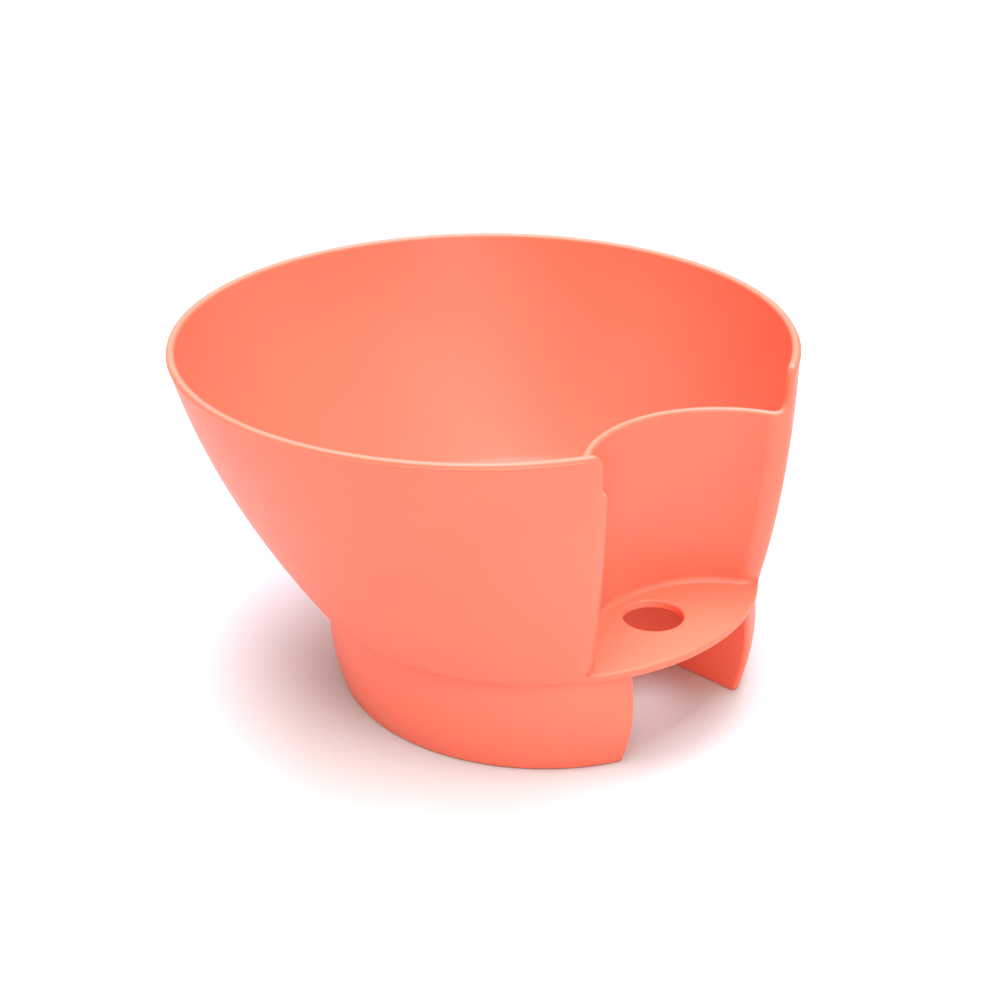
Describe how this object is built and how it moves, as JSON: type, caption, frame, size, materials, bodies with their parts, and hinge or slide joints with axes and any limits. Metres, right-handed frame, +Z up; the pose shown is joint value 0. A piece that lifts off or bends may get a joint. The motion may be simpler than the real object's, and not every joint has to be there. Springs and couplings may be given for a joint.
{
  "type": "hair color bowl",
  "caption": "Round tint bowl that leans back over an open-fronted foot, with a recessed front wall and a shelf whose hole parks a tint brush.",
  "frame": {"origin": "on the table, under the middle of the overall length and width", "axes": "+X towards the recess and shelf, +Y to the bowl's left, +Z up"},
  "size_m": [0.147, 0.1498, 0.082],
  "materials": {
    "coral_plastic": "satin moulded polypropylene"
  },
  "bodies": {
    "root": {"bowl_rim": "coral_plastic", "bowl_wall": "coral_plastic", "corner_left": "coral_plastic", "corner_right": "coral_plastic", "recess_rim": "coral_plastic", "recess_wall": "coral_plastic", "bowl_floor": "coral_plastic", "brush_shelf": "coral_plastic", "foot_skirt": "coral_plastic", "channel_wall_left": "coral_plastic", "channel_wall_right": "coral_plastic", "channel_end": "coral_plastic"}
  },
  "joints": []
}
